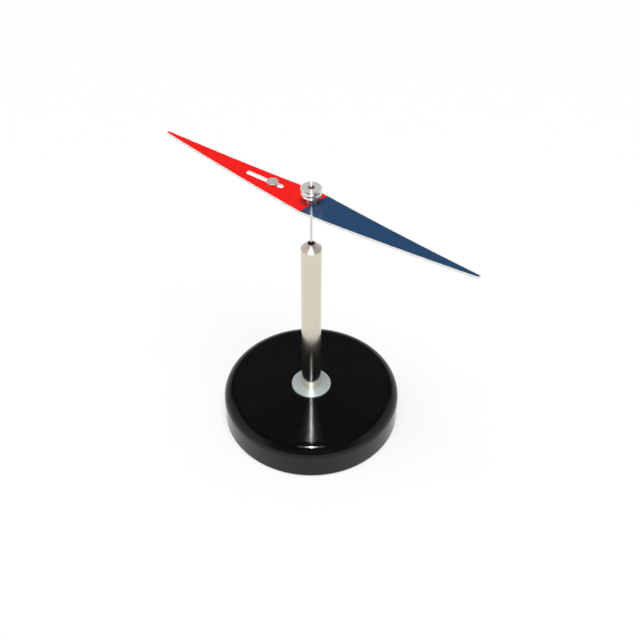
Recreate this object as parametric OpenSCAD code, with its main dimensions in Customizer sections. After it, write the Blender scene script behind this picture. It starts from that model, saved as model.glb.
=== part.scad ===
// Magnetic needle on a stand.
// A flat diamond needle swings on the point of a thin pin, which stands in a bright column
// on a heavy round foot. The table is at z = 0, the pin stands on the z axis, and the needle
// lies along x with its blue end towards +x.

/* [Foot] */
// Diameter of the foot
foot_d = 90; // [60:1:120]
// Height of the foot's top above the table
foot_top = 19.5; // [18:0.5:30]
// Radius of the rounding round the foot's top
foot_edge_r = 6.2; // [2:0.1:9]
// Radius of the small rounding round the foot's lower edge
foot_low_edge_r = 0.8; // [0.4:0.1:1.5]
// Metal left between the screw's pocket and the foot's top
foot_web = 8; // [5:0.5:10]
// Width of the foot's rim round the pad
pad_margin = 5; // [3:0.5:10]
// Thickness of the pad
pad_t = 1.2; // [1:0.1:2]
// How far the pad stands out below the foot
pad_proud = 0.4; // [0.2:0.1:0.8]

/* [Column] */
// Diameter of the column
column_d = 9.8; // [8:0.1:14]
// Height of the column's tip above the table
column_top = 113.2; // [80:0.1:160]
// Height of the cone at the column's tip
column_cone_h = 3; // [1:0.1:4]
// Diameter of the flat land at the column's tip
column_tip_d = 3.8; // [3.5:0.1:5]
// Chamfer round the column's lower end
column_chamfer = 0.3; // [0.1:0.1:0.8]
// Diameter of the washer under the column
foot_washer_d = 20; // [14:0.5:30]
// Thickness of the washer under the column
foot_washer_t = 1.2; // [0.8:0.1:3]

/* [Column screw] */
// Thread diameter of the screw that holds the column
screw_d = 6; // [4:0.5:6]
// Length of the screw below its head
screw_len = 20; // [18:1:28]
// Diameter of the screw's head
screw_head_d = 10; // [9:0.5:11]
// Height of the screw's head
screw_head_h = 3.9; // [3:0.1:4.5]
// Width of the slot in the screw's head
screw_slot_w = 1.6; // [1:0.1:2]
// Diameter of the flat washer under the screw's head
screw_washer_d = 12; // [11:0.5:14]
// Thickness of that flat washer
screw_washer_t = 1.6; // [1:0.1:2]
// Thickness of the split lock washer
lock_washer_t = 1.6; // [1:0.1:2]
// Width of the split in the lock washer
lock_split = 0.8; // [0.4:0.1:1.2]

/* [Pin] */
// Diameter of the pivot pin
pin_d = 1; // [0.8:0.05:1.2]
// Height of the pin's point, where the needle turns, above the column's tip
pin_reach = 29.9; // [20:0.1:50]
// Half angle of the pin's ground point
pin_point_angle = 20; // [14:1:24]
// Diameter of the black bush that holds the pin
bush_d = 3.1; // [2.6:0.05:3.3]
// Length of the bush
bush_len = 12; // [8:0.5:16]
// How far the bush lies below the column's tip
bush_sunk = 0.3; // [0.1:0.1:1]

/* [Blade] */
// Length of the blade from tip to tip
blade_len = 172; // [140:1:200]
// Width of the blade at its middle
blade_w = 17.6; // [15:0.1:22]
// Width of the blade's rounded tips
blade_tip_w = 2.36; // [1:0.02:4]
// Thickness of the blade
blade_t = 0.8; // [0.5:0.05:1.2]
// How far the tips are bent up above the middle
blade_bow = 2.27; // [0.5:0.01:4]

/* [Hub] */
// Height of the hub's top above the blade
hub_h = 8.2; // [7:0.1:10]
// Diameter of the hub's upper disc
hub_d = 9.6; // [8:0.1:12]
// Chamfer round the hub's top
hub_chamfer = 0.6; // [0.2:0.1:0.8]
// Height of the upper disc with its chamfer
hub_disc_h = 1.5; // [1.1:0.1:2]
// Height of the lower rim
hub_rim_h = 1; // [0.6:0.1:1.4]
// Diameter of the lower rim
hub_rim_d = 9.2; // [8:0.1:12]
// Height of the groove between disc and rim
hub_groove_h = 1.4; // [0.8:0.1:1.8]
// Diameter at the bottom of the groove
hub_groove_d = 8; // [6:0.1:9]
// Diameter of the hub's neck
hub_neck_d = 4.6; // [4.4:0.1:7]
// Diameter of the spigot that goes through the blade
spigot_d = 3.8; // [3.4:0.1:4]
// Bore of the hub round the pin
hub_bore_d = 2.6; // [2.4:0.05:2.8]
// Width across the flats of the nut under the blade
hub_nut_w = 6; // [5.5:0.1:8]
// Thickness of that nut
hub_nut_t = 1.2; // [0.8:0.1:2]

/* [Point bearing] */
// Diameter of the brass ring in the hub's top
holder_d = 2.7; // [2.5:0.05:2.8]
// Height of that ring
holder_h = 1.8; // [1.6:0.05:2]
// Diameter of the hole in the ring's top
holder_hole_d = 1.2; // [0.6:0.05:1.6]
// Thickness of the ring's lip over the jewel
holder_lip = 0.3; // [0.2:0.05:0.5]
// Diameter of the bearing jewel
jewel_d = 1.9; // [1.7:0.05:2.1]
// Half angle of the cup in the jewel
jewel_cup_angle = 37; // [30:1:40]

/* [Slot and balance weight] */
// Distance of the slot's middle from the pin
slot_x = 26.8; // [24:0.1:36]
// How far the slot's middle lies off the blade's middle line
slot_y = 0.5; // [0:0.1:1]
// Length of the slot from end to end
slot_len = 20.3; // [14:0.1:26]
// Width of the slot
slot_w = 2.4; // [2:0.1:3]
// Turn of the slot away from the blade's middle line
slot_turn = 3.1; // [0:0.1:5]
// Distance that the weight can still slide towards the hub
weight_in = 4.7; // [0.2:0.1:6]
// Diameter of the weight's head
weight_head_d = 5.4; // [4:0.1:7]
// Thickness of the weight's head
weight_head_t = 0.8; // [0.5:0.1:2]
// Diameter of the weight's shank
weight_shank_d = 2.2; // [1.6:0.1:2.2]
// Free height of the spring washer under the blade
weight_spring_h = 0.6; // [0.4:0.05:1]
// Width across the flats of the weight's nut
weight_nut_w = 4; // [3.5:0.1:6]
// Thickness of the weight's nut
weight_nut_t = 1.2; // [1:0.1:3]

/* [Fits] */
// Clearance on the radius of a piece that is put over or into another
fit = 0.05; // [0.02:0.01:0.1]
// Gap between the jewel and the pin's point
point_gap = 0.02; // [0.01:0.01:0.05]
// Gap round the bearing ring that lets the needle dip
dip_gap = 0.15; // [0.12:0.01:0.2]
// Gap between the weight and the blade that it slides on
slide_gap = 0.08; // [0.06:0.01:0.15]

/* [Hidden] */

$fn = 96;
// A hidden cut runs this far past the face that it opens
past = 1;

red = [0.93, 0.13, 0.12];
nickel = [0.78, 0.77, 0.74];
zinc = [0.66, 0.70, 0.70];
black = [0.04, 0.04, 0.04];
ruby = [0.55, 0.12, 0.16];
old_brass = [0.50, 0.36, 0.26];

// The foot and what is screwed up into it
foot_under = pad_proud;
foot_h = foot_top - foot_under;
pad_recess = pad_t - pad_proud;
pad_d = foot_d - 2 * pad_margin;
pocket_top = foot_top - foot_web;
pocket_d = screw_washer_d + 3;
screw_hole_d = screw_d + 0.4;
screw_head_top = pocket_top - screw_washer_t - lock_washer_t;
screw_slot_depth = screw_head_h * 0.45;

// The column and its bores
column_foot = foot_top + foot_washer_t;
screw_end = screw_head_top + screw_len;
thread_depth = screw_end - column_foot + 2;
bush_top = column_top - bush_sunk;
bush_foot = bush_top - bush_len;
bush_wall = (bush_d - pin_d) / 2;

// The pin stands on a thin floor inside the bush
pin_floor = bush_wall / 2;
pin_foot = bush_foot + pin_floor;
pivot_z = column_top + pin_reach;
pin_blunt_r = 0.1;

// The blade is rolled to a large radius, so that both tips rise by its bow
blade_half = blade_len / 2;
blade_tip_r = blade_tip_w / 2;
blade_tip_x = blade_half - blade_tip_r;
bow_r = (blade_half * blade_half + blade_bow * blade_bow) / (2 * blade_bow);
holder_top = pivot_z + holder_h / 2;
holder_sunk = 0.5;
hub_top = holder_top + holder_sunk;
blade_top = hub_top - hub_h;
blade_under = blade_top - blade_t;
// Film between the hub's shoulder and the bent blade
film = 0.01;

// The hub's profile, from the spigot's end up
spigot_foot = blade_under - hub_nut_t - 0.2;
groove_top = hub_top - hub_disc_h;
rim_top = groove_top - hub_groove_h;
rim_foot = rim_top - hub_rim_h;
rim_chamfer = 0.15;
holder_foot = pivot_z - holder_h / 2;
holder_bore_floor = holder_foot - 0.2;

// The jewel hangs its cup's apex a hair above the pin's point
cup_apex_r = 0.15;
cup_apex_z = pivot_z + point_gap;
jewel_top = holder_top - holder_lip - fit;
jewel_foot = holder_foot + 0.1;
cup_mouth_r = cup_apex_r + (cup_apex_z - jewel_foot) * tan(jewel_cup_angle);

// The weight slides along the line that touches the bent blade at the slot's middle
slot_reach = (slot_len - slot_w) / 2;
weight_at = slot_reach - weight_in;
slot_slope = asin(slot_x / bow_r);
slot_rise = bow_r - sqrt(bow_r * bow_r - slot_x * slot_x);
chord_sag = slot_len * slot_len / (8 * bow_r);
weight_seat = slide_gap + chord_sag;
weight_nut_gap = 0.05;
weight_nut_top = -blade_t - weight_seat - weight_spring_h - weight_nut_gap;
weight_shank_end = weight_nut_top - weight_nut_t - 0.3;
spring_t = 0.25;
spring_d = weight_head_d - 0.6;

// Ring of a given height with sharp edges
module ring(outer_d, inner_d, height) {
    difference() {
        cylinder(d = outer_d, h = height);
        translate([0, 0, -past])
            cylinder(d = inner_d, h = height + 2 * past);
    }
}

// Hexagonal nut with a plain hole
module hex_nut(width, hole_d, height) {
    difference() {
        cylinder(d = width / cos(30), h = height, $fn = 6);
        translate([0, 0, -past])
            cylinder(d = hole_d, h = height + 2 * past);
    }
}

// Points of an arc about a centre, from one angle to another
function arc(centre, r, from, to, steps = 8) =
    [for (i = [0 : steps]) let (a = from + (to - from) * i / steps) centre + r * [cos(a), sin(a)]];

// Thin pad that lies in the recess under the foot
module foot_pad() {
    color(black)
        cylinder(d = pad_d, h = pad_t);
}

// Flat washer between the foot and the lock washer
module screw_washer() {
    color(zinc)
        translate([0, 0, pocket_top - screw_washer_t])
            ring(screw_washer_d, screw_d + 2 * fit, screw_washer_t);
}

// Lock washer cut through at one side
module screw_lock_washer() {
    color(zinc)
        translate([0, 0, screw_head_top])
            difference() {
                ring(screw_washer_d - 1, screw_d + 2 * fit, lock_washer_t);
                translate([0, -lock_split / 2, -past])
                    cube([screw_washer_d, lock_split, lock_washer_t + 2 * past]);
            }
}

// Cheese-head screw that pulls the column down on the foot
module column_screw() {
    color(zinc)
        difference() {
            union() {
                translate([0, 0, screw_head_top - screw_head_h])
                    cylinder(d = screw_head_d, h = screw_head_h);
                translate([0, 0, screw_head_top])
                    cylinder(d = screw_d, h = screw_len);
            }
            translate([-screw_head_d, -screw_slot_w / 2, screw_head_top - screw_head_h - past])
                cube([2 * screw_head_d, screw_slot_w, screw_slot_depth + past]);
        }
}

// Section of the foot from its axis to its rim, with both edges rounded
module foot_section() {
    r = foot_d / 2;
    low = foot_low_edge_r;
    high = foot_edge_r;
    translate([0, foot_under])
        square([r - high, foot_h]);
    translate([0, foot_under])
        square([r - low, foot_h - high]);
    translate([0, foot_under + low])
        square([r, foot_h - high - low]);
    translate([r - high, foot_top - high])
        circle(r = high);
    translate([r - low, foot_under + low])
        circle(r = low);
}

// Heavy round foot with a recess for the pad and a pocket for the screw
module foot() {
    color(black)
        difference() {
            rotate_extrude($fn = 180)
                foot_section();
            translate([0, 0, foot_under - past])
                cylinder(d = pad_d + 4 * fit, h = pad_recess + past);
            translate([0, 0, foot_under])
                cylinder(d = pocket_d, h = pocket_top - foot_under);
            cylinder(d = screw_hole_d, h = foot_top + past);
        }
}

// Plated washer between the foot and the column
module foot_washer() {
    soft = foot_washer_t / 4;
    inner = screw_hole_d / 2;
    outer = foot_washer_d / 2;
    color(zinc)
        translate([0, 0, foot_top])
            rotate_extrude()
                polygon(concat(
                    [[inner, 0]],
                    arc([outer - soft, soft], soft, -90, 0, 4),
                    arc([outer - soft, foot_washer_t - soft], soft, 0, 90, 4),
                    [[inner, foot_washer_t]]
                ));
}

// Turned column with a cone at its tip, a bore for the bush and a hole for the screw
module column() {
    r = column_d / 2;
    color(nickel)
        difference() {
            rotate_extrude()
                polygon([
                    [0, column_foot],
                    [r - column_chamfer, column_foot],
                    [r, column_foot + column_chamfer],
                    [r, column_top - column_cone_h],
                    [column_tip_d / 2, column_top],
                    [0, column_top]
                ]);
            translate([0, 0, column_foot - past])
                cylinder(d = screw_d + 2 * fit, h = thread_depth + past);
            translate([0, 0, bush_foot])
                cylinder(d = bush_d + 2 * fit, h = bush_len + bush_sunk + past);
        }
}

// Black bush that stands in the column's tip and holds the pin
module pin_bush() {
    color(black)
        difference() {
            translate([0, 0, bush_foot])
                cylinder(d = bush_d, h = bush_len);
            translate([0, 0, pin_foot])
                cylinder(d = pin_d + 2 * point_gap, h = bush_len);
        }
}

// Thin steel pin with a ground point
module pivot_pin() {
    r = pin_d / 2;
    point_h = (r - pin_blunt_r) / tan(pin_point_angle);
    color(nickel)
        rotate_extrude()
            polygon(concat(
                [
                    [0, pin_foot],
                    [r, pin_foot],
                    [r, pivot_z - point_h]
                ],
                arc([0, pivot_z - pin_blunt_r], pin_blunt_r, pin_point_angle, 90, 4)
            ));
}

// Jewel with the conical cup that rests on the pin's point
module bearing_jewel() {
    r = jewel_d / 2;
    color(ruby)
        rotate_extrude()
            polygon([
                [0, cup_apex_z],
                [cup_apex_r, cup_apex_z],
                [cup_mouth_r, jewel_foot],
                [r, jewel_foot],
                [r, jewel_top - 0.2],
                [r - 0.2, jewel_top],
                [0, jewel_top]
            ]);
}

// Brass ring in the hub's top, with a lip over the jewel
module jewel_holder() {
    inner = jewel_d / 2 + fit;
    outer = holder_d / 2;
    hole = holder_hole_d / 2;
    soft = 0.15;
    color(old_brass)
        rotate_extrude()
            polygon([
                [inner, holder_foot],
                [outer, holder_foot],
                [outer, holder_top - soft],
                [outer - soft, holder_top],
                [hole + soft, holder_top],
                [hole, holder_top - soft],
                [hole, holder_top - holder_lip],
                [inner, holder_top - holder_lip]
            ]);
}

// Turned hub: disc, groove, rim, neck and a spigot that goes through the blade
module hub() {
    seat = blade_top + film;
    disc = hub_d / 2;
    rim = hub_rim_d / 2;
    neck = hub_neck_d / 2;
    bore = hub_bore_d / 2;
    holder_bore = holder_d / 2 + dip_gap;
    color(nickel)
        rotate_extrude()
            polygon([
                [bore, spigot_foot],
                [spigot_d / 2, spigot_foot],
                [spigot_d / 2, seat],
                [neck, seat],
                [neck, rim_foot],
                [rim - rim_chamfer, rim_foot],
                [rim, rim_foot + rim_chamfer],
                [rim, rim_top],
                [hub_groove_d / 2, rim_top + hub_groove_h / 2],
                [disc, groove_top],
                [disc, hub_top - hub_chamfer],
                [disc - hub_chamfer, hub_top],
                [holder_bore, hub_top],
                [holder_bore, holder_bore_floor],
                [bore, holder_bore_floor]
            ]);
}

// Straight sides of the blade, which run from its wide middle to touch its round tips
module blade_sides() {
    half_w = blade_w / 2;
    slope = acos(blade_tip_r / norm([half_w, blade_tip_x])) - atan2(blade_tip_x, half_w);
    touch = [blade_tip_x, 0] + blade_tip_r * [sin(slope), cos(slope)];
    polygon([
        [0, half_w], touch, [touch.x, -touch.y],
        [0, -half_w], [-touch.x, -touch.y], [-touch.x, touch.y]
    ]);
}

// Slot with round ends, in which the weight slides
module slot_outline() {
    translate([-slot_x, slot_y])
        rotate(slot_turn)
            union() {
                square([2 * slot_reach, slot_w], center = true);
                for (side = [-1, 1])
                    translate([side * slot_reach, 0])
                        circle(d = slot_w, $fn = 48);
            }
}

// Upright prism with the blade's outline, its hole for the hub and its slot
module blade_prism(height) {
    difference() {
        union() {
            linear_extrude(height = height)
                blade_sides();
            for (side = [-1, 1])
                translate([side * blade_tip_x, 0, 0])
                    cylinder(r = blade_tip_r, h = height);
        }
        translate([0, 0, -past])
            cylinder(d = spigot_d + 2 * fit, h = height + 2 * past);
        translate([0, 0, -past])
            linear_extrude(height = height + 2 * past)
                slot_outline();
    }
}

// Wall rolled to the blade's bow, wide enough to hold the whole outline
module bowed_wall() {
    sweep = 2 * asin((blade_half + past) / bow_r);
    translate([0, 0, blade_top + bow_r])
        rotate([90, 0, 0])
            rotate([0, 0, -90 - sweep / 2])
                rotate_extrude(angle = sweep, $fn = 1440)
                    translate([bow_r, -blade_w])
                        square([blade_t, 2 * blade_w]);
}

// Steel blade, bent up a little towards both tips
module blade() {
    below = blade_under - past;
    color(red)
        intersection() {
            bowed_wall();
            translate([0, 0, below])
                blade_prism(blade_t + blade_bow + 2 * past);
        }
}

// Thin nut that holds the hub under the blade
module hub_nut() {
    color(nickel)
        translate([0, 0, blade_under - hub_nut_t])
            hex_nut(hub_nut_w, spigot_d + 2 * fit, hub_nut_t);
}

// Places a piece of the weight, whose z = 0 is the blade's top face at the slot's middle
module at_weight() {
    translate([-slot_x, slot_y, blade_top + slot_rise])
        rotate([0, slot_slope, 0])
            rotate([0, 0, slot_turn])
                translate([weight_at, 0, 0])
                    children();
}

// Flat head and shank of the weight
module weight_stud() {
    r = weight_head_d / 2;
    soft = 0.15;
    color(nickel)
        at_weight()
            rotate_extrude()
                polygon([
                    [0, weight_shank_end],
                    [weight_shank_d / 2, weight_shank_end],
                    [weight_shank_d / 2, weight_seat],
                    [r, weight_seat],
                    [r, weight_seat + weight_head_t - soft],
                    [r - soft, weight_seat + weight_head_t],
                    [0, weight_seat + weight_head_t]
                ]);
}

// Dished washer that presses the weight against the blade
module weight_spring() {
    inner = weight_shank_d / 2 + fit;
    outer = spring_d / 2;
    foot = weight_nut_top + weight_nut_gap;
    color(zinc)
        at_weight()
            rotate_extrude()
                polygon([
                    [inner, foot],
                    [outer, foot + weight_spring_h - spring_t],
                    [outer, foot + weight_spring_h],
                    [inner, foot + spring_t]
                ]);
}

// Small nut at the end of the weight's shank
module weight_nut() {
    color(nickel)
        at_weight()
            translate([0, 0, weight_nut_top - weight_nut_t])
                hex_nut(weight_nut_w, weight_shank_d + 2 * fit, weight_nut_t);
}

foot_pad();
column_screw();
screw_washer();
screw_lock_washer();
foot();
foot_washer();
column();
pin_bush();
pivot_pin();
bearing_jewel();
jewel_holder();
hub();
blade();
hub_nut();
weight_stud();
weight_spring();
weight_nut();
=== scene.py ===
"""Magnetic needle on a stand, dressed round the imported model. x runs to the needle's blue end, z up."""

import bmesh
import bpy
import numpy as np
from mathutils import Matrix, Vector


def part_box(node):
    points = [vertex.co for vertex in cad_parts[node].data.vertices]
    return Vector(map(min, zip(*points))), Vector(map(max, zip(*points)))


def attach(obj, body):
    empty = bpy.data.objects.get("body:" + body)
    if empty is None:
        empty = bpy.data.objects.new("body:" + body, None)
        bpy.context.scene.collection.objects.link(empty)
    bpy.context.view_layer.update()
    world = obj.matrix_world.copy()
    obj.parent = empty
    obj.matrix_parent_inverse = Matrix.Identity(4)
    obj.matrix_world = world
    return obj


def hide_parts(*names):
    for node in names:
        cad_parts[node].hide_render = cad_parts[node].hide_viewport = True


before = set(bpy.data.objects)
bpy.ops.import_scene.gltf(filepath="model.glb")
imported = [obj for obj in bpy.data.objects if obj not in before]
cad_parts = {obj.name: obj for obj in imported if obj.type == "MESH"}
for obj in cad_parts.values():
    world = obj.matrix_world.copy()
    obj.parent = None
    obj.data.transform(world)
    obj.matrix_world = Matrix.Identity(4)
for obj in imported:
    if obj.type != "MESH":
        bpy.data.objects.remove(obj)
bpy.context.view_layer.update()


# Foot pad
# A thin felt disc, punched out and glued into a recess under the foot, so that the
# foot doesn't scratch the table. It stands out below the foot by a fraction of a millimetre.
MM = 0.001
CREASE = np.radians(40)


def eased(corners, steps=6, hold=0.02):
    """Rounds the corners of a profile. A corner is (radius, height, ease) in millimetres. Where ease
    isn't 0, the corner becomes an arc of that radius which touches both of its sides, with one more
    point at the distance hold before and after it, so that the flats beside it stay flat. Returns
    points in metres."""
    points = []
    for i, (r, z, ease) in enumerate(corners):
        corner = np.array([r, z], float)
        if ease == 0:
            points.append(corner)
            continue
        back = np.array(corners[i - 1][:2], float) - corner
        ahead = np.array(corners[(i + 1) % len(corners)][:2], float) - corner
        back, ahead = back / np.linalg.norm(back), ahead / np.linalg.norm(ahead)
        half = np.arccos(np.clip(back @ ahead, -1, 1)) / 2
        touch = ease / np.tan(half)
        middle = back + ahead
        centre = corner + middle / np.linalg.norm(middle) * ease / np.sin(half)
        first = corner + back * touch - centre
        last = corner + ahead * touch - centre
        sweep = np.arctan2(first[0] * last[1] - first[1] * last[0], first @ last)
        a = np.linspace(0, sweep, steps + 1)[:, None]
        across = np.array([-first[1], first[0]])
        rounding = centre + first * np.cos(a) + across * np.sin(a)
        points += [corner + back * (touch + hold), rounding, corner + ahead * (touch + hold)]
    return np.vstack(points) * MM


def smooth(mesh):
    """Shades a mesh smooth, but for edges that are sharper than CREASE."""
    mesh.shade_smooth()
    mesh.set_sharp_from_angle(angle=CREASE)


def set_out(name, data):
    """New object in the scene for a mesh, a lamp or a camera."""
    thing = bpy.data.objects.new(name, data)
    bpy.context.scene.collection.objects.link(thing)
    return thing


def turned(name, profile, ring=False, around=256, place=None):
    """Surface of revolution: point (r, z) of the profile at angle a is (r cos a, r sin a, z). A profile
    that isn't a ring starts and ends on the axis, where each end becomes one vertex. The profile keeps
    the solid on its left, so that faces point outwards. The UV map "turning" holds the angle and the
    way along the profile. The matrix place, if there is one, moves the surface to its seat."""
    rows = len(profile)
    a = np.linspace(0, 2 * np.pi, around, endpoint=False)
    r, z = profile[:, :1], profile[:, 1:]
    grid = np.stack([r * np.cos(a), r * np.sin(a), z + 0 * a], axis=-1)
    index = np.arange(rows * around).reshape(rows, around)
    low = np.arange(rows if ring else rows - 1)
    high = (low + 1) % rows
    picks = [[0, 1, 2, 3]] * len(low)
    if not ring:
        index[[0, -1]] = index[[0, -1], :1]
        picks[0], picks[-1] = [0, 2, 3], [0, 1, 2]
    used, index = np.unique(index, return_inverse=True)
    index = index.reshape(rows, around)
    beside = np.roll(index, -1, axis=1)
    bands = np.stack([index[low], beside[low], beside[high], index[high]], axis=-1)
    faces = [face for band, pick in zip(bands, picks) for face in band[:, pick].tolist()]
    steps = np.diff(profile, axis=0, append=profile[:1])
    way = np.concatenate([[0], np.cumsum(np.linalg.norm(steps, axis=1))])
    turn = (np.arange(around)[:, None] + [0, 1, 1, 0]) / around
    along = way[low[:, None] + [0, 0, 1, 1]] / way[len(low)]
    uvs = np.stack(np.broadcast_arrays(turn, along[:, None]), axis=-1)
    points = grid.reshape(-1, 3)[used]
    if place is not None:
        points = points @ np.array(place)[:3, :3].T + np.array(place)[:3, 3]
    mesh = bpy.data.meshes.new(name)
    mesh.from_pydata(points.tolist(), [], faces)
    corners_uv = np.concatenate([uv[:, pick].ravel() for uv, pick in zip(uvs, picks)])
    mesh.uv_layers.new(name="turning").data.foreach_set("uv", corners_uv)
    smooth(mesh)
    return set_out(name, mesh)


def finish(name, colour, metallic, roughness, **sockets):
    """New material with one Principled shader; sockets gives its other inputs by name. Returns the
    material, its node tree and the shader."""
    material = bpy.data.materials.new(name)
    material.use_nodes = True
    shader = material.node_tree.nodes["Principled BSDF"]
    shader.inputs["Base Color"].default_value = (*colour, 1)
    shader.inputs["Metallic"].default_value = metallic
    shader.inputs["Roughness"].default_value = roughness
    for socket, value in sockets.items():
        shader.inputs[socket.replace("_", " ")].default_value = value
    return material, material.node_tree, shader


def feed(tree, value, entry):
    """Links a socket to an input, or sets the input to a number or to a colour of three numbers."""
    if isinstance(value, bpy.types.NodeSocket):
        tree.links.new(value, entry)
    else:
        entry.default_value = (*value, 1) if isinstance(value, tuple) else value


def grain(tree, scale, detail=3, stretch=(1, 1, 1)):
    """Noise on Object coordinates, stretched along the axes; scale is in bumps per metre."""
    coordinates = tree.nodes.new("ShaderNodeTexCoord")
    mapping = tree.nodes.new("ShaderNodeMapping")
    mapping.inputs["Scale"].default_value = stretch
    noise = tree.nodes.new("ShaderNodeTexNoise")
    noise.inputs["Scale"].default_value = scale
    noise.inputs["Detail"].default_value = detail
    tree.links.new(coordinates.outputs["Object"], mapping.inputs["Vector"])
    tree.links.new(mapping.outputs["Vector"], noise.inputs["Vector"])
    return noise.outputs["Fac"]


def shades(tree, factor, dark, light):
    """Mixes two colours by a factor. Each colour is three numbers or a socket."""
    mix = tree.nodes.new("ShaderNodeMix")
    mix.data_type = "RGBA"
    feed(tree, dark, mix.inputs["A"])
    feed(tree, light, mix.inputs["B"])
    feed(tree, factor, mix.inputs["Factor"])
    return mix.outputs["Result"]


def coloured(tree, shader, factor, dark, light):
    """Lets a shader's colour change from dark to light with a factor from 0 to 1."""
    feed(tree, shades(tree, factor, dark, light), shader.inputs["Base Color"])


def relief(tree, shader, height, strength, depth):
    """Bump of a height map; depth is how high it stands, in metres."""
    bump = tree.nodes.new("ShaderNodeBump")
    bump.inputs["Strength"].default_value = strength
    bump.inputs["Distance"].default_value = depth
    tree.links.new(height, bump.inputs["Height"])
    tree.links.new(bump.outputs["Normal"], shader.inputs["Normal"])


def fit_on(piece, material, body, slot, *nodes):
    """Gives a piece its material and lets it stand for CAD nodes on a body. The argument slot is not
    used.
    """
    piece.data.materials.append(material)
    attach(piece, body)
    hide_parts(*nodes)


def spans(node):
    """Outer radius, foot and top of a turned CAD node, in millimetres."""
    low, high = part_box(node)
    return (high.x - low.x) / 2 / MM, low.z / MM, high.z / MM


pad_r, pad_foot, pad_top = spans("foot_pad")
pad_profile = eased([
    (0, pad_foot, 0),
    (pad_r, pad_foot, 0.15),
    (pad_r, pad_top, 0.15),
    (0, pad_top, 0),
])
felt, tree, shader = finish("black_felt", (0.02, 0.02, 0.02), metallic=0, roughness=0.95,
                            Sheen_Weight=0.2)
fibres = grain(tree, 2500, detail=6)
coloured(tree, shader, fibres, dark=(0.008, 0.008, 0.009), light=(0.05, 0.05, 0.052))
relief(tree, shader, fibres, strength=0.8, depth=0.0003)
fit_on(turned("foot_pad_felt", pad_profile), felt, "stand", "felt", "foot_pad")


# Column screw and its washers
# A cheese-head steel screw with a flat washer and a split lock washer pulls the column
# down on the foot from below. All three are zinc plated, and the pad hides them.
def between(tree, factor, low, high):
    """Turns a factor from 0 to 1 into a number from low to high."""
    span = tree.nodes.new("ShaderNodeMapRange")
    span.inputs["To Min"].default_value = low
    span.inputs["To Max"].default_value = high
    tree.links.new(factor, span.inputs["Value"])
    return span.outputs["Result"]


def roughened(tree, shader, factor, low, high):
    """Lets a shader's roughness change from low to high with a factor from 0 to 1."""
    feed(tree, between(tree, factor, low, high), shader.inputs["Roughness"])


zinc, tree, shader = finish("zinc_plate", (0.62, 0.68, 0.68), metallic=0.7, roughness=0.42)
clouds = grain(tree, 900, detail=5)
coloured(tree, shader, clouds, dark=(0.56, 0.63, 0.63), light=(0.68, 0.74, 0.74))
roughened(tree, shader, clouds, low=0.3, high=0.48)
relief(tree, shader, grain(tree, 6000, detail=2), strength=0.12, depth=0.00002)
for node in ("column_screw", "screw_washer", "screw_lock_washer"):
    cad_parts[node].data.materials[0] = zinc


# Foot
# A heavy disc with a wide rounding round its top, turned from an iron casting and
# sprayed with gloss black lacquer, which has the faint waves of a sprayed coat.
foot_r, foot_under, foot_top = spans("foot")
FOOT_EDGE = 6.2
FOOT_LOW_EDGE = 0.8
FOOT_WEB = 8
POCKET_R = 7.5
SCREW_HOLE_R = 3.2
PAD_FIT = 0.1
PAD_GLUE = 0.01
recess_r = pad_r + PAD_FIT
recess_top = pad_top + PAD_GLUE
pocket_top = foot_top - FOOT_WEB
foot_profile = eased([
    (recess_r, foot_under, 0.2),
    (foot_r, foot_under, FOOT_LOW_EDGE),
    (foot_r, foot_top, FOOT_EDGE),
    (SCREW_HOLE_R, foot_top, 0.2),
    (SCREW_HOLE_R, pocket_top, 0.1),
    (POCKET_R, pocket_top, 0.1),
    (POCKET_R, recess_top, 0.1),
    (recess_r, recess_top, 0.1),
], steps=16)

# A finish changes over this height, in millimetres
CHANGE_H = 0.02
# Fine polishing rings, in bumps per metre, and the depth of their ripple in metres
RING_SCALE = 3500
RING_DEPTH = 0.00004


def maths(tree, operation, *values):
    """Math node. Each value is a number or a socket."""
    node = tree.nodes.new("ShaderNodeMath")
    node.operation = operation
    for entry, value in zip(node.inputs, values):
        feed(tree, value, entry)
    return node.outputs["Value"]


def axis_distance(tree):
    """Distance from the z axis, and the height, both in metres."""
    coordinates = tree.nodes.new("ShaderNodeTexCoord")
    flat = tree.nodes.new("ShaderNodeVectorMath")
    flat.operation = "MULTIPLY"
    flat.inputs[1].default_value = (1, 1, 0)
    length = tree.nodes.new("ShaderNodeVectorMath")
    length.operation = "LENGTH"
    split = tree.nodes.new("ShaderNodeSeparateXYZ")
    tree.links.new(coordinates.outputs["Object"], flat.inputs[0])
    tree.links.new(flat.outputs["Vector"], length.inputs[0])
    tree.links.new(coordinates.outputs["Object"], split.inputs["Vector"])
    return length.outputs["Value"], split.outputs["Z"]


def turning_marks(tree, scale):
    """Noise that changes only with the distance from the axis and with the height, like the marks of
    a lathe tool; scale is in bumps per metre."""
    joined = tree.nodes.new("ShaderNodeCombineXYZ")
    noise = tree.nodes.new("ShaderNodeTexNoise")
    noise.inputs["Scale"].default_value = scale
    noise.inputs["Detail"].default_value = 4
    distance, height = axis_distance(tree)
    tree.links.new(distance, joined.inputs["X"])
    tree.links.new(height, joined.inputs["Z"])
    tree.links.new(joined.outputs["Vector"], noise.inputs["Vector"])
    return noise.outputs["Fac"]


def fading(tree, value, full, none):
    """1 where the value is at full or beyond it, 0 at none or beyond it, and even steps between."""
    fade = tree.nodes.new("ShaderNodeMapRange")
    fade.inputs["From Min"].default_value = none
    fade.inputs["From Max"].default_value = full
    tree.links.new(value, fade.inputs["Value"])
    return fade.outputs["Result"]


def above(tree, height, under, over):
    """One number under a height in millimetres and another over it."""
    _, z = axis_distance(tree)
    return between(tree, fading(tree, z, height * MM, (height - CHANGE_H) * MM), under, over)


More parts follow.
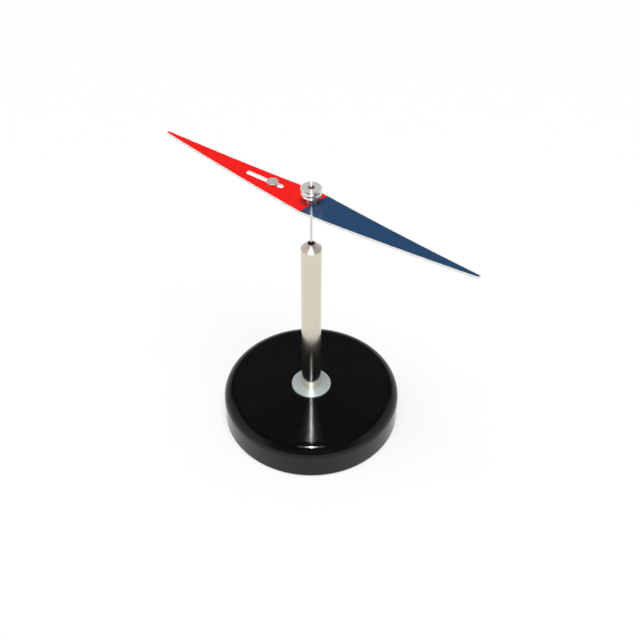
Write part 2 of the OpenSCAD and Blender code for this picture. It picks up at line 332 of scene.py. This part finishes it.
def mixed_in(tree, other, share):
    """Mixes another shader into the material by share, which is a number or a socket."""
    surface = tree.nodes["Material Output"].inputs["Surface"]
    mix = tree.nodes.new("ShaderNodeMixShader")
    tree.links.new(surface.links[0].from_socket, mix.inputs[1])
    tree.links.new(other.outputs[0], mix.inputs[2])
    feed(tree, share, mix.inputs["Fac"])
    tree.links.new(mix.outputs["Shader"], surface)


def polishing_rings(tree, way, slope, share, roughness=0.11):
    """Adds the fine bright rings that turning and polishing leave. Each leans by about the given slope
    along way, which is the distance from the axis on a flat face and the height on a wall. Together
    the rings draw a lamp out into one streak across them, wider where they are rougher."""
    bright = tree.nodes.new("ShaderNodeBsdfPrincipled")
    bright.inputs["Base Color"].default_value = (0.85, 0.85, 0.85, 1)
    bright.inputs["Metallic"].default_value = 1
    bright.inputs["Roughness"].default_value = roughness
    ripple = maths(tree, "MULTIPLY", turning_marks(tree, RING_SCALE), RING_DEPTH)
    relief(tree, bright, maths(tree, "MULTIPLY_ADD", way, -slope, ripple), strength=1, depth=1)
    mixed_in(tree, bright, share)


lacquer, tree, shader = finish("black_lacquer", (0.002, 0.002, 0.002), metallic=0, roughness=0.05,
                               IOR=1.34)
roughened(tree, shader, grain(tree, 700, detail=6), low=0.03, high=0.07)
relief(tree, shader, grain(tree, 900), strength=0.12, depth=0.00003)
sparkle = between(tree, grain(tree, 2200, detail=2), low=-0.045, high=0.045)
on_top = above(tree, foot_top - CHANGE_H, under=0, over=1)
rings_show = maths(tree, "MULTIPLY", sparkle, on_top)
from_axis, _ = axis_distance(tree)
polishing_rings(tree, from_axis, slope=0.58, share=rings_show, roughness=0.06)
fit_on(turned("foot_shell", foot_profile, ring=True, around=360), lacquer,
       "stand", "black_lacquer", "foot")


# Foot washer
# A flat steel washer between foot and column, zinc plated, with the soft edge that
# punching and tumbling leave.
washer_r, washer_foot, washer_top = spans("foot_washer")
washer_profile = eased([
    (SCREW_HOLE_R, washer_foot, 0.1),
    (washer_r, washer_foot, 0.3),
    (washer_r, washer_top, 0.4),
    (SCREW_HOLE_R, washer_top, 0.2),
])
QUARTER_TURN = 0.25


def along_profile(tree, shader):
    """Turns the shader's stretched highlights along the profile, square to the turning marks."""
    tangent = tree.nodes.new("ShaderNodeTangent")
    tangent.direction_type = "UV_MAP"
    tangent.uv_map = "turning"
    shader.inputs["Anisotropic Rotation"].default_value = QUARTER_TURN
    tree.links.new(tangent.outputs["Tangent"], shader.inputs["Tangent"])


def second_lobe(tree, shader, roughness, share):
    """Adds a wider highlight to a grooved metal: a copy of its shader with another roughness, drawn
    out along the profile as far as it goes. Returns the copy."""
    wide = tree.nodes.new("ShaderNodeBsdfPrincipled")
    for socket in ("Base Color", "Metallic", "IOR", "Anisotropic Rotation"):
        wide.inputs[socket].default_value = shader.inputs[socket].default_value
    wide.inputs["Anisotropic"].default_value = 1
    wide.inputs["Roughness"].default_value = roughness
    for link in list(tree.links):
        if link.to_node == shader and link.to_socket.name in ("Base Color", "Tangent", "Normal"):
            tree.links.new(link.from_socket, wide.inputs[link.to_socket.name])
    mixed_in(tree, wide, share)
    return wide


bright_zinc, tree, shader = finish("bright_zinc", (0.7, 0.78, 0.77), metallic=0.55, roughness=0.4)
along_profile(tree, shader)
clouds = grain(tree, 1200, detail=5)
coloured(tree, shader, clouds, dark=(0.65, 0.74, 0.73), light=(0.75, 0.83, 0.82))
relief(tree, shader, grain(tree, 2500), strength=0.15, depth=0.00003)
second_lobe(tree, shader, roughness=0.5, share=0.4)
fit_on(turned("foot_washer_plate", washer_profile, ring=True), bright_zinc,
       "stand", "zinc_steel", "foot_washer")


# Column
# A brass rod, turned with a cone at its tip, polished along fine turning marks and
# nickel plated. The marks run round it and draw every highlight out along the rod.
column_r, column_foot, column_top = spans("column")
CONE_H = 3
CONE_TIP_R = 1.9
BORE_R = 1.6
BUSH_DEPTH = 12.3
THREAD_R = 3.05
THREAD_DEPTH = 9.6
cone_foot = column_top - CONE_H
column_profile = eased([
    (0, column_foot + THREAD_DEPTH, 0),
    (THREAD_R, column_foot + THREAD_DEPTH, 0.1),
    (THREAD_R, column_foot, 0.1),
    (column_r, column_foot, 0.3),
    (column_r, cone_foot, 0.15),
    (CONE_TIP_R, column_top, 0.08),
    (BORE_R, column_top, 0.05),
    (BORE_R, column_top - BUSH_DEPTH, 0),
    (0, column_top - BUSH_DEPTH, 0),
])

# The rod is rubbed bright up to the first height, and not from the second one on
RUBBED_TO = 34
UNRUBBED_FROM = 48
nickel, tree, shader = finish("polished_nickel", (0.67, 0.62, 0.52), metallic=1, roughness=0.155)
along_profile(tree, shader)
marks = turning_marks(tree, 3000)
coloured(tree, shader, marks, dark=(0.64, 0.59, 0.49), light=(0.7, 0.65, 0.55))
roughened(tree, shader, marks, low=0.14, high=0.17)
cone_haze = second_lobe(tree, shader, roughness=0.55, share=above(tree, cone_foot, under=0, over=0.85))
cone_haze.inputs["Anisotropic"].default_value = 0
cone_haze.inputs["Metallic"].default_value = 0.4
from_axis, height = axis_distance(tree)
on_cone = above(tree, cone_foot, under=0, over=0.32)
polishing_rings(tree, from_axis, slope=-0.35, share=on_cone, roughness=0.37)
sparkle = between(tree, grain(tree, 1500), low=-0.006, high=0.017)
rubbed = fading(tree, height, full=RUBBED_TO * MM, none=UNRUBBED_FROM * MM)
rings_show = maths(tree, "MULTIPLY", sparkle, rubbed)
polishing_rings(tree, height, slope=1.7, share=rings_show, roughness=0.18)
fit_on(turned("column_rod", column_profile), nickel, "stand", "nickel", "column")


# Pin bush
# A black plastic sleeve pressed into the column's tip, a little below its rim. It holds
# the pin upright.
bush_r, bush_foot, bush_top = spans("pin_bush")
pin_r, pin_foot, pin_top = spans("pivot_pin")
PIN_FIT = 0.02
bush_profile = eased([
    (0, bush_foot, 0),
    (bush_r, bush_foot, 0.1),
    (bush_r, bush_top, 0.12),
    (pin_r + PIN_FIT, bush_top, 0.1),
    (pin_r + PIN_FIT, pin_foot, 0),
    (0, pin_foot, 0),
])
bush_black, tree, shader = finish("bush_black", (0.01, 0.01, 0.01), metallic=0, roughness=0.3)
roughened(tree, shader, grain(tree, 4000), low=0.22, high=0.4)
fit_on(turned("pin_bush_sleeve", bush_profile, around=96), bush_black,
       "stand", "black_plastic", "pin_bush")


# Pivot pin
# A thin hardened steel pin, drawn bright, with its point ground to a fine cone. The
# needle rests on the point alone.
POINT_HALF_ANGLE = np.radians(20)
POINT_R = 0.1
POINT_CROWN = 0.01
point_h = (pin_r - POINT_R) / np.tan(POINT_HALF_ANGLE)
pin_profile = eased([
    (0, pin_foot, 0),
    (pin_r, pin_foot, 0.05),
    (pin_r, pin_top - point_h, 0.2),
    (POINT_R, pin_top - POINT_CROWN, 0.05),
    (0, pin_top, 0),
])
bright_steel, tree, shader = finish("drawn_steel", (0.62, 0.61, 0.59), metallic=1, roughness=0.22,
                                    Anisotropic=0.5)
roughened(tree, shader, turning_marks(tree, 5000), low=0.16, high=0.3)
fit_on(turned("pivot_pin_rod", pin_profile, around=64), bright_steel,
       "stand", "pin_steel", "pivot_pin")


# Bearing jewel
# A synthetic ruby with a polished cup on its underside, in which the pin's point sits.
# It is set in the brass ring in the hub's top.
jewel_r, jewel_foot, jewel_top = spans("bearing_jewel")
CUP_APEX_R = 0.15
CUP_HALF_ANGLE = np.radians(37)
CUP_GAP = 0.02
cup_top = pin_top + CUP_GAP
cup_mouth_r = CUP_APEX_R + (cup_top - jewel_foot) * np.tan(CUP_HALF_ANGLE)
jewel_profile = eased([
    (0, cup_top, 0),
    (CUP_APEX_R, cup_top, 0.03),
    (cup_mouth_r, jewel_foot, 0.03),
    (jewel_r, jewel_foot, 0.03),
    (jewel_r, jewel_top, 0.15),
    (0, jewel_top, 0),
], hold=0.005)
ruby, tree, shader = finish("ruby", (0.3, 0.03, 0.06), metallic=0, roughness=0.08, IOR=1.76)
coloured(tree, shader, grain(tree, 1500), dark=(0.22, 0.02, 0.04), light=(0.36, 0.05, 0.09))
fit_on(turned("bearing_jewel_cup", jewel_profile, around=96), ruby, "bearing", "jewel", "bearing_jewel")


# Jewel holder
# A small turned brass ring in the top of the hub. Its lip holds the jewel down, and it
# has gone brown with age.
holder_r, holder_foot, holder_top = spans("jewel_holder")
HOLDER_HOLE_R = 0.6
HOLDER_LIP = 0.3
JEWEL_FIT = 0.05
holder_inner_r = jewel_r + JEWEL_FIT
holder_profile = eased([
    (holder_inner_r, holder_foot, 0.03),
    (holder_r, holder_foot, 0.05),
    (holder_r, holder_top, 0.2),
    (HOLDER_HOLE_R, holder_top, 0.12),
    (HOLDER_HOLE_R, holder_top - HOLDER_LIP, 0.03),
    (holder_inner_r, holder_top - HOLDER_LIP, 0.03),
], hold=0.01)
old_brass, tree, shader = finish("aged_brass", (0.33, 0.22, 0.17), metallic=0.85, roughness=0.38,
                                 Anisotropic=0.6)
along_profile(tree, shader)
coloured(tree, shader, turning_marks(tree, 4000), dark=(0.24, 0.15, 0.12), light=(0.43, 0.29, 0.23))
fit_on(turned("jewel_holder_ring", holder_profile, ring=True, around=128), old_brass,
       "bearing_ring", "bearing_brass", "jewel_holder")


# Hub
# Turned from brass rod and nickel plated: a disc with a faced top, a V groove, a lower
# rim and a slim neck on a spigot. The facing marks ring the hole in its top.
hub_r, hub_foot, hub_top = spans("hub")
HUB_H = 8.2
HUB_CHAMFER = 0.6
DISC_H = 1.5
GROOVE_H = 1.4
GROOVE_R = 4
LOWER_RIM_H = 1
LOWER_RIM_R = 4.6
NECK_R = 2.3
SPIGOT_R = 1.9
HUB_BORE_R = 1.3
HOLDER_BORE_R = 1.5
HOLDER_GAP = 0.2
SEAT_GAP = 0.01
blade_seat = hub_top - HUB_H
disc_foot = hub_top - DISC_H
groove_foot = disc_foot - GROOVE_H
neck_top = groove_foot - LOWER_RIM_H
holder_bore_foot = holder_foot - HOLDER_GAP
hub_profile = eased([
    (HUB_BORE_R, hub_foot, 0.05),
    (SPIGOT_R, hub_foot, 0.1),
    (SPIGOT_R, blade_seat, 0),
    (NECK_R, blade_seat + SEAT_GAP, 0),
    (NECK_R, neck_top, 0.2),
    (LOWER_RIM_R, neck_top, 0.15),
    (LOWER_RIM_R, groove_foot, 0.12),
    (GROOVE_R, groove_foot + GROOVE_H / 2, 0.1),
    (hub_r, disc_foot, 0.08),
    (hub_r, hub_top - HUB_CHAMFER, 0.1),
    (hub_r - HUB_CHAMFER, hub_top, 0.1),
    (HOLDER_BORE_R, hub_top, 0.08),
    (HOLDER_BORE_R, holder_bore_foot, 0),
    (HUB_BORE_R, holder_bore_foot, 0.03),
], hold=0.01)

FACED_H = 0.05
faced_from = hub_top - FACED_H
faced_nickel, tree, shader = finish("faced_nickel", (0.85, 0.83, 0.78), metallic=1, roughness=0.16)
along_profile(tree, shader)
rings = turning_marks(tree, 2600)
coloured(tree, shader, rings, dark=(0.76, 0.74, 0.69), light=(0.92, 0.9, 0.85))
roughened(tree, shader, rings, low=0.12, high=0.2)
faced = second_lobe(tree, shader, roughness=0.32, share=above(tree, faced_from, under=0.2, over=0.8))
faced.inputs["Metallic"].default_value = 0.4
_, height = axis_distance(tree)
polishing_rings(tree, height, slope=1.45, share=above(tree, faced_from, under=0.04, over=0))
fit_on(turned("hub_body", hub_profile, ring=True), faced_nickel, "needle", "turned_nickel", "hub")


# Hub nut
# A flat nickel-plated nut under the blade clamps the blade to the hub. It is matt from
# tumbling and seen only from below.
tumbled_nickel, tree, shader = finish("tumbled_nickel", (0.8, 0.78, 0.73), metallic=1, roughness=0.3)
pits = grain(tree, 2500, detail=4)
coloured(tree, shader, pits, dark=(0.72, 0.7, 0.65), light=(0.86, 0.84, 0.79))
roughened(tree, shader, pits, low=0.22, high=0.36)
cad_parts["hub_nut"].data.materials[0] = tumbled_nickel


# Blade
# A long diamond stamped from hardened steel strip, magnetised and bent up a little at
# both ends, with a slot for the weight. Both faces are painted, red on the half that
# points one way and blue on the other, and the ground edges are bare.
low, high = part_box("blade")
BLADE_HALF = high.x / MM
BLADE_HALF_W = high.y / MM
BLADE_T = 0.8
TIP_R = 1.18
BLADE_EDGE = 0.2
BARE_RIM = 0.35
BOW = 2.27
SLOT_MIDDLE = np.array([-26.8, 0.5])
SLOT_LEN = 20.3
SLOT_W = 2.4
SLOT_TURN = np.radians(3.1)
SLOT_EDGE = 0.08
SLOT_FLAT = 0.03
HUB_HOLE_R = 1.95
bow_r = (BLADE_HALF ** 2 + BOW ** 2) / (2 * BOW)
bow_centre = low.z / MM + BLADE_T + bow_r
tip_x = BLADE_HALF - TIP_R
side_slope = np.arccos(TIP_R / np.hypot(BLADE_HALF_W, tip_x)) - np.arctan2(tip_x, BLADE_HALF_W)

# Steps across a face and round a rim's edge, then along the outline and the openings
FACE_STEPS = 8
RIM_STEPS = 4
TIP_STEPS = 12
TIP_TO_SLOT_STEPS = 69
SLOT_END_STEPS = 16
SLOT_SIDE_STEPS = 24
SLOT_TO_HOLE_STEPS = 23
HOLE_STEPS = 32
HOLE_TO_TIP_STEPS = 89
# Corners that lie closer than this, in metres, are the same one
WELD = 0.000002


def arc(centre, r, start, end, steps):
    """Points of an arc, and the unit vectors from its centre to them, from angle start to angle end."""
    a = np.linspace(start, end, steps + 1)
    out = np.stack([np.cos(a), np.sin(a)], axis=1)
    return centre + r * out, out


def line(start, end, steps):
    """Points of a straight line without its ends, and its left-hand unit normal at each of them."""
    t = np.linspace(0, 1, steps + 1)[1:-1, None]
    along = (end - start) / np.linalg.norm(end - start)
    return start + (end - start) * t, np.tile([-along[1], along[0]], (len(t), 1))


def opening(middle, reach, r, turn):
    """Upper side of a round-ended opening, from its leftmost to its rightmost point. Each point comes
    with the unit vector that points into the metal."""
    along = reach * np.array([np.cos(turn), np.sin(turn)])
    left, left_out = arc(middle - along, r, np.pi, np.pi / 2 + turn, SLOT_END_STEPS)
    right, right_out = arc(middle + along, r, np.pi / 2 + turn, 0, SLOT_END_STEPS)
    straight, straight_out = line(left[-1], right[0], SLOT_SIDE_STEPS)
    return np.concatenate([left, straight, right]), np.concatenate([left_out, straight_out, right_out])


def rim(edge, flat):
    """Section of a rim from the lower face to the upper one, as (inset, height): at each face a strip
    of the width flat, then a rounding of the radius edge."""
    a = np.linspace(0, np.pi / 2, RIM_STEPS + 1)
    lower = np.stack([edge * (1 - np.sin(a)), edge * (1 - np.cos(a))], axis=1)
    upper = np.stack([lower[::-1, 0], BLADE_T - lower[::-1, 1]], axis=1)
    return np.concatenate([[[edge + flat, 0]], lower, upper, [[edge + flat, BLADE_T]]])


def outline(x):
    """Half width of the diamond at x on its straight sides."""
    return BLADE_HALF_W - np.abs(x) * np.tan(side_slope)


def half_blade(side):
    """Upper (side 1) or lower (side -1) half of the blade. Columns run along it from tip to tip. In
    each column, rows run over the bottom face from the inner to the outer edge, up the outer rim, back
    over the top face and down the inner rim, which only an opening has. The lower side of the slot is
    its upper one turned by half a turn. Returns points, quads and the material number of each quad."""
    slot_edge, slot_out = opening(SLOT_MIDDLE, (SLOT_LEN - SLOT_W) / 2, SLOT_W / 2, SLOT_TURN)
    if side < 0:
        slot_edge, slot_out = 2 * SLOT_MIDDLE - slot_edge[::-1], -slot_out[::-1]
    hole_edge, hole_out = arc(np.zeros(2), HUB_HOLE_R, np.pi, 0, HOLE_STEPS)
    hole_edge, hole_out = hole_edge * [1, side], hole_out * [1, side]
    tip, tip_out = arc(np.array([-tip_x, 0]), TIP_R, np.pi, np.pi / 2 + side_slope, TIP_STEPS)
    inner_inset = SLOT_EDGE + SLOT_FLAT
    outer_inset = BLADE_EDGE + BARE_RIM
    slot_ends = slot_edge[[0, -1]] + slot_out[[0, -1]] * inner_inset
    hole_ends = hole_edge[[0, -1]] + hole_out[[0, -1]] * inner_inset
    x_left = np.linspace(tip[-1, 0], slot_edge[0, 0], TIP_TO_SLOT_STEPS + 1)[1:-1]
    x_between = np.linspace(slot_edge[-1, 0], hole_edge[0, 0], SLOT_TO_HOLE_STEPS + 1)[1:-1]
    x_right = np.linspace(hole_edge[-1, 0], -tip[-1, 0], HOLE_TO_TIP_STEPS + 1)[1:-1]
    xs = np.concatenate([x_left, slot_edge[:, 0], x_between, hole_edge[:, 0], x_right])
    outer = np.concatenate([tip, np.stack([xs, outline(xs)], axis=1), tip[::-1] * [-1, 1]])
    out = np.stack([np.sign(xs) * np.sin(side_slope), np.cos(side_slope) + 0 * xs], axis=1)
    out[np.isclose(xs, 0)] = [0, 1 / np.cos(side_slope)]
    out = np.concatenate([tip_out, out, tip_out[::-1] * [-1, 1]])
    outer, out = outer * [1, side], out * [1, side]
    tip_inner = (tip - tip_out * outer_inset) * [1, 0]
    inner = np.concatenate([
        tip_inner,
        line(tip_inner[-1], slot_ends[0], TIP_TO_SLOT_STEPS)[0],
        slot_edge,
        line(slot_ends[1], hole_ends[0], SLOT_TO_HOLE_STEPS)[0],
        hole_edge,
        line(hole_ends[1], tip_inner[-1] * [-1, 1], HOLE_TO_TIP_STEPS)[0],
        tip_inner[::-1] * [-1, 1],
    ])
    into = np.zeros_like(inner)
    first = len(tip) + len(x_left)
    into[first:first + len(slot_edge)] = slot_out
    second = first + len(slot_edge) + len(x_between)
    into[second:second + len(hole_edge)] = hole_out
    opened = np.abs(into).sum(axis=1) > 0
    near = inner + into * inner_inset
    far = outer - out * outer_inset
    flat = np.zeros(len(near))
    way = np.linspace(0, 1, FACE_STEPS + 1)
    outer_rim = rim(BLADE_EDGE, BARE_RIM)
    rows = [np.column_stack([near + (far - near) * t, flat]) for t in way[:-1]]
    rows += [np.column_stack([outer - out * inset, flat + height]) for inset, height in outer_rim]
    rows += [np.column_stack([far + (near - far) * t, flat + BLADE_T]) for t in way[1:]]
    closed_rows = len(rows)
    rows += [np.column_stack([inner + into * inset, flat + height])
             for inset, height in rim(SLOT_EDGE, SLOT_FLAT)[-2::-1]]
    points = np.stack(rows)
    index = np.arange(points[..., 0].size).reshape(points.shape[:2])
    quads = np.stack([index[:-1, :-1], index[1:, :-1], index[1:, 1:], index[:-1, 1:]], axis=-1)
    keep = np.ones(quads.shape[:2], bool)
    keep[closed_rows - 1:] = opened[:-1] & opened[1:]
    metal = np.zeros(quads.shape[:2], int)
    metal[FACE_STEPS:FACE_STEPS + len(outer_rim) - 1] = 1
    metal[closed_rows:-1] = 1
    quads = quads if side > 0 else quads[..., ::-1]
    return points.reshape(-1, 3), quads[keep], metal[keep]


upper_points, upper_quads, upper_metal = half_blade(1)
lower_points, lower_quads, lower_metal = half_blade(-1)
points = np.concatenate([upper_points, lower_points])
points[:, 2] += bow_centre - BLADE_T - np.sqrt(bow_r ** 2 - points[:, 0] ** 2)
quads = np.concatenate([upper_quads, lower_quads + len(upper_points)])
mesh = bpy.data.meshes.new("blade_strip")
mesh.from_pydata((points * MM).tolist(), [], quads.tolist())
mesh.polygons.foreach_set("material_index", np.concatenate([upper_metal, lower_metal]))
shell = bmesh.new()
shell.from_mesh(mesh)
bmesh.ops.remove_doubles(shell, verts=shell.verts, dist=WELD)
shell.to_mesh(mesh)
shell.free()
smooth(mesh)
blade = set_out("blade_strip", mesh)

PAINT_LINE_X = 1.25
PAINT_LINE_TURN = np.radians(10.6)
PAINT_WANDER = 0.12
PAINT_SOFTNESS = 0.07
RUBBED_R = 10.5
RUBBED_EDGE = 1


def along_direction(tree, vector, direction):
    """Dot product of a vector socket with a direction."""
    product = tree.nodes.new("ShaderNodeVectorMath")
    product.operation = "DOT_PRODUCT"
    product.inputs[1].default_value = direction
    tree.links.new(vector, product.inputs[0])
    return product.outputs["Value"]


paint, tree, shader = finish("blade_paint", (0.8, 0.02, 0.01), metallic=0, roughness=0.12, IOR=1.5)
coordinates = tree.nodes.new("ShaderNodeTexCoord")
square_to_line = (np.cos(PAINT_LINE_TURN), -np.sin(PAINT_LINE_TURN), 0)
across_line = along_direction(tree, coordinates.outputs["Object"], square_to_line)
wander = maths(tree, "MULTIPLY_ADD", grain(tree, 1500, detail=2), PAINT_WANDER * MM, across_line)
line_at = PAINT_LINE_X * np.cos(PAINT_LINE_TURN) + PAINT_WANDER / 2
blue_side = fading(tree, wander, (line_at + PAINT_SOFTNESS) * MM, (line_at - PAINT_SOFTNESS) * MM)
mottle = grain(tree, 300, detail=4)
red_coat = shades(tree, mottle, dark=(0.84, 0.008, 0.006), light=(0.9, 0.012, 0.009))
blue_coat = shades(tree, mottle, dark=(0.015, 0.052, 0.125), light=(0.02, 0.062, 0.145))
coloured(tree, shader, blue_side, red_coat, blue_coat)
roughened(tree, shader, mottle, low=0.08, high=0.16)
relief(tree, shader, grain(tree, 1200), strength=0.1, depth=0.00003)
from_axis, _ = axis_distance(tree)
rubbed = fading(tree, from_axis, full=RUBBED_R * MM, none=(RUBBED_R + RUBBED_EDGE) * MM)
sparkle = between(tree, grain(tree, 1500), low=-0.01, high=0.022)
polishing_rings(tree, from_axis, slope=0.7, share=maths(tree, "MULTIPLY", sparkle, rubbed))
blade.data.materials.append(paint)

ground_steel, tree, shader = finish("ground_steel", (0.85, 0.84, 0.81), metallic=0.2, roughness=0.35)
scuffs = grain(tree, 3000, stretch=(0.1, 1, 1))
coloured(tree, shader, scuffs, dark=(0.78, 0.77, 0.74), light=(0.9, 0.89, 0.86))
roughened(tree, shader, scuffs, low=0.28, high=0.45)
fit_on(blade, ground_steel, "needle", "blade_paint", "blade")


# Weight stud
# A small stud with a low round head, nickel plated and matt. Its shank goes down
# through the blade's slot, and it leans with the bow of the blade.
STUD_HEAD_R = 2.7
STUD_HEAD_T = 0.8
STUD_SHANK_R = 1.1
STUD_END = -3.06
STUD_SEAT = 0.112
WEIGHT_ALONG = 4.25
slot_x = SLOT_MIDDLE[0]
slot_height = bow_centre - np.sqrt(bow_r ** 2 - slot_x ** 2)
weight_frame = (
    Matrix.Translation(np.array([*SLOT_MIDDLE, slot_height]) * MM)
    @ Matrix.Rotation(np.arcsin(-slot_x / bow_r), 4, "Y")
    @ Matrix.Rotation(SLOT_TURN, 4, "Z")
    @ Matrix.Translation((WEIGHT_ALONG * MM, 0, 0))
)
stud_profile = eased([
    (0, STUD_END, 0),
    (STUD_SHANK_R, STUD_END, 0.1),
    (STUD_SHANK_R, STUD_SEAT, 0.03),
    (STUD_HEAD_R, STUD_SEAT, 0.12),
    (STUD_HEAD_R, STUD_SEAT + STUD_HEAD_T, 0.15),
    (0, STUD_SEAT + STUD_HEAD_T, 0),
])
matt_nickel, tree, shader = finish("matt_nickel", (0.72, 0.67, 0.6), metallic=0.6, roughness=0.5)
dulled = grain(tree, 1500, detail=4)
coloured(tree, shader, dulled, dark=(0.68, 0.62, 0.56), light=(0.78, 0.72, 0.66))
roughened(tree, shader, dulled, low=0.34, high=0.5)
relief(tree, shader, grain(tree, 8000, detail=2), strength=0.1, depth=0.00002)
fit_on(turned("weight_stud_body", stud_profile, around=128, place=weight_frame), matt_nickel,
       "balance_weight", "weight_nickel", "weight_stud")


# Weight spring and nut
# A dished spring washer under the blade keeps the weight from sliding by itself, and a
# small nut holds it. Both are seen only from below.
SPRING_FOOT = -1.51
SPRING_INNER_R = 1.15
SPRING_OUTER_R = 2.4
SPRING_T = 0.25
SPRING_H = 0.6
spring_profile = eased([
    (SPRING_INNER_R, SPRING_FOOT, 0.04),
    (SPRING_OUTER_R, SPRING_FOOT + SPRING_H - SPRING_T, 0.05),
    (SPRING_OUTER_R, SPRING_FOOT + SPRING_H, 0.05),
    (SPRING_INNER_R, SPRING_FOOT + SPRING_T, 0.04),
], hold=0.01)
fit_on(turned("weight_spring_dish", spring_profile, ring=True, around=96, place=weight_frame),
       matt_nickel, "balance_weight", "weight_nickel", "weight_spring")
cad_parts["weight_nut"].data.materials[0] = matt_nickel


# Table
# A white table far wider than the picture. The camera and polished pieces see it more than
# half by its own light, so that it stays as white as the photograph's ground.
TABLE_R = 6
TABLE_CORNERS = 96
GLOW = 0.62
a = np.linspace(0, 2 * np.pi, TABLE_CORNERS, endpoint=False)
circle = np.column_stack([TABLE_R * np.cos(a), TABLE_R * np.sin(a), 0 * a])
mesh = bpy.data.meshes.new("table")
mesh.from_pydata(circle.tolist(), [], [list(range(TABLE_CORNERS))])
table = set_out("table", mesh)
white, tree, shader = finish("white_table", (0.92, 0.92, 0.915), metallic=0, roughness=0.9)
coloured(tree, shader, grain(tree, 40), dark=(0.93, 0.93, 0.925), light=(0.95, 0.95, 0.945))
glow = tree.nodes.new("ShaderNodeEmission")
glow.inputs["Color"].default_value = (1, 1, 1, 1)
seen = tree.nodes.new("ShaderNodeLightPath")
share = 0
for ray in ("Is Camera Ray", "Is Glossy Ray", "Is Transmission Ray"):
    share = maths(tree, "MAXIMUM", seen.outputs[ray], share)
mixed_in(tree, glow, between(tree, share, low=0, high=GLOW))
mesh.materials.append(white)


# Light
# One wide soft lamp nearly overhead, a little to the camera's side, lights every surface. Three
# strong ones below it, each wider and weaker than the one before, only draw the highlights. The
# surround is pale low down and at both sides, and dark above and behind the camera.
SIDE = np.radians(37.47)
LAMP_DISTANCE = 6
LAMP_STEP = 0.05
# Height in degrees, width and depth in metres, and radiance
LAMPS = {
    "soft_lamp": (79, 3.5, 3.0, 9.6),
    "spark_lamp": (74, 0.22, 1.26, 290),
    "glint_lamp": (74, 0.84, 1.26, 21),
    "halo_lamp": (74, 1.9, 1.26, 3),
}


def toward(up):
    """Unit vector from the object to a place on the camera's side, at the angle up above the table."""
    return np.array([np.sin(SIDE) * np.cos(up), -np.cos(SIDE) * np.cos(up), np.sin(up)])


def looking(place, heading, down):
    """Matrix of a lamp or camera at a place, turned from +y about z by heading and looking down."""
    aim = Matrix.Rotation(heading, 4, "Z") @ Matrix.Rotation(np.pi / 2 - down, 4, "X")
    return Matrix.Translation(place) @ aim


for step, (name, (degrees, width, depth, radiance)) in enumerate(LAMPS.items()):
    up = np.radians(degrees)
    lamp = bpy.data.lights.new(name, "AREA")
    lamp.shape = "RECTANGLE"
    lamp.size, lamp.size_y = width, depth
    lamp.energy = radiance * np.pi * width * depth
    lamp_object = set_out(name, lamp)
    lamp_object.matrix_world = looking(toward(up) * (LAMP_DISTANCE + LAMP_STEP * step), SIDE, up)
    lamp_object.visible_glossy = name != "soft_lamp"
    lamp_object.visible_diffuse = name == "soft_lamp"

world = bpy.data.worlds.new("studio")
bpy.context.scene.world = world
world.use_nodes = True
tree = world.node_tree
coordinates = tree.nodes.new("ShaderNodeTexCoord")
split = tree.nodes.new("ShaderNodeSeparateXYZ")
tree.links.new(coordinates.outputs["Generated"], split.inputs["Vector"])
ramp = tree.nodes.new("ShaderNodeValToRGB")
tree.links.new(split.outputs["Z"], ramp.inputs["Fac"])
stops = ramp.color_ramp.elements
stops[0].position, stops[0].color = 0.25, (0.85, 0.85, 0.85, 1)
stops[1].position, stops[1].color = 0.5, (0.12, 0.12, 0.125, 1)
facing = along_direction(tree, coordinates.outputs["Generated"], toward(0))
sideways = fading(tree, maths(tree, "ABSOLUTE", facing), full=0.35, none=0.6)
low_down = fading(tree, split.outputs["Z"], full=0.6, none=0.75)
at_sides = maths(tree, "MULTIPLY", sideways, low_down)
walled = shades(tree, at_sides, ramp.outputs["Color"], (0.8, 0.8, 0.8))
away_from_camera = fading(tree, facing, full=0.45, none=0.75)
dimmed = shades(tree, away_from_camera, (0.2, 0.2, 0.2), walled)
tree.links.new(dimmed, tree.nodes["Background"].inputs["Color"])


# Camera
# It looks down on the needle from the side of the blue end, as in the photograph, and
# its small shift and roll are those of the photograph.
HEADING = np.radians(36.81)
PITCH = np.radians(43.88)
ROLL = np.radians(0.47)
DISTANCE = 0.5129
AIM_HEIGHT = 0.060
camera = bpy.data.cameras.new("camera")
camera.lens = 58.85
camera.sensor_width = 36
camera.shift_y = 0.01157
camera_object = set_out("camera", camera)
camera_place = toward(PITCH) * DISTANCE + np.array([0, 0, AIM_HEIGHT])
camera_object.matrix_world = looking(camera_place, HEADING, PITCH) @ Matrix.Rotation(ROLL, 4, "Z")
bpy.context.scene.camera = camera_object
bpy.context.scene.view_settings.view_transform = "Standard"
